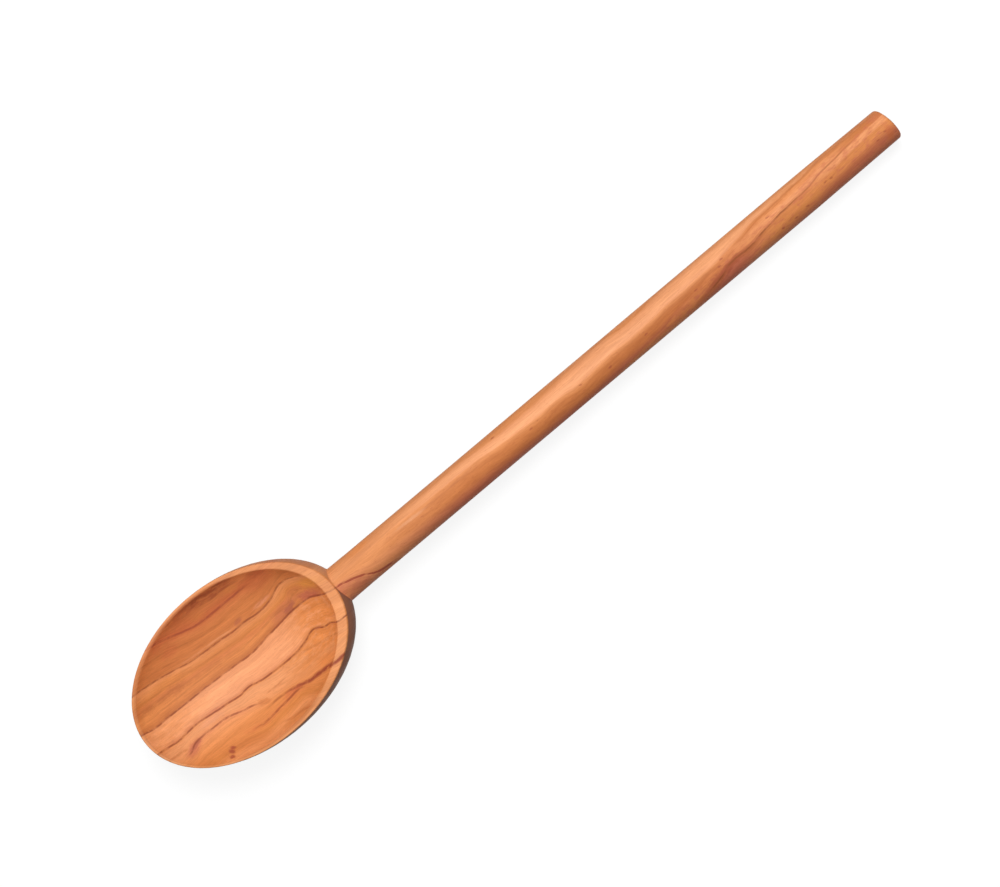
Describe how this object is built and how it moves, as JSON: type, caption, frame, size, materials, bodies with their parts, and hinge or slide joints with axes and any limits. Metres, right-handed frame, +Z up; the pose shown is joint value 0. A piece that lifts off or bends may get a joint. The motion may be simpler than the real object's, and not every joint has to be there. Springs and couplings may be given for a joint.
{
  "type": "wooden spoon",
  "caption": "Cooking spoon carved from one piece of olive wood, with an egg-shaped bowl, a flat rim and a straight round handle.",
  "frame": {"origin": "on the table that the spoon lies on, under the middle of the spoon's bounding box", "axes": "+X along the spoon from the tip of the bowl to the free end of the handle, +Z up, out of the bowl, +Y to the left when looking from the bowl along the handle"},
  "size_m": [0.3046, 0.0542, 0.02],
  "materials": {
    "olive_wood": "oiled olive wood, satin, with dark reddish brown figure lines"
  },
  "bodies": {
    "root": {"spoon": "olive_wood"}
  },
  "joints": []
}
